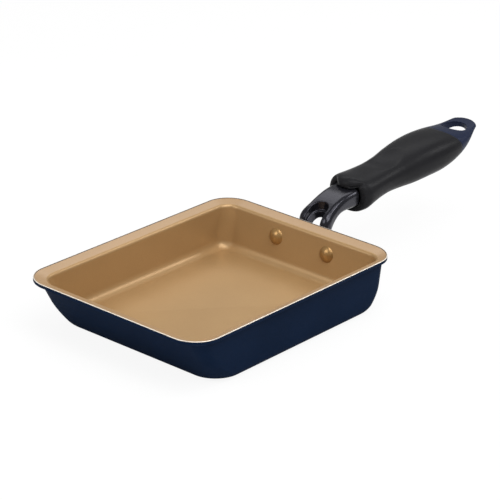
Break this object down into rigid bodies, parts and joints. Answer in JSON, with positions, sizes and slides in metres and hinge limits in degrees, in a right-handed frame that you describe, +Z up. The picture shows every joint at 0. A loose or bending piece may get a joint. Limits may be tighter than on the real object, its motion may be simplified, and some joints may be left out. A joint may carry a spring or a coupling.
{
  "type": "tamagoyaki pan",
  "caption": "Rectangular rolled-omelette pan with a sloped end wall, a turned-out lip, a slotted riveted arm, a moulded grip and a tail piece with a hanging hole",
  "frame": {"origin": "on the hob under the middle of the pan's rim, on the base plate's underside", "axes": "+X from the pan along the handle, +Y across the pan, +Z up"},
  "size_m": [0.3594, 0.14, 0.0648],
  "materials": {
    "body": "gold-tan non-stick lining, navy enamel outside",
    "base_steel": "brushed",
    "rivet": "satin, coated in the lining's colour",
    "arm": "fine-textured dark coating",
    "grip": "soft matte black",
    "tail": "satin navy",
    "screw": "zinc plated"
  },
  "bodies": {
    "root": {"pan_body": "body", "base_plate": "base_steel", "rivets": "rivet", "handle_arm": "arm", "grip": "grip", "end_cap": "tail", "tie_screw": "screw", "screw_washer": "screw"}
  },
  "joints": []
}
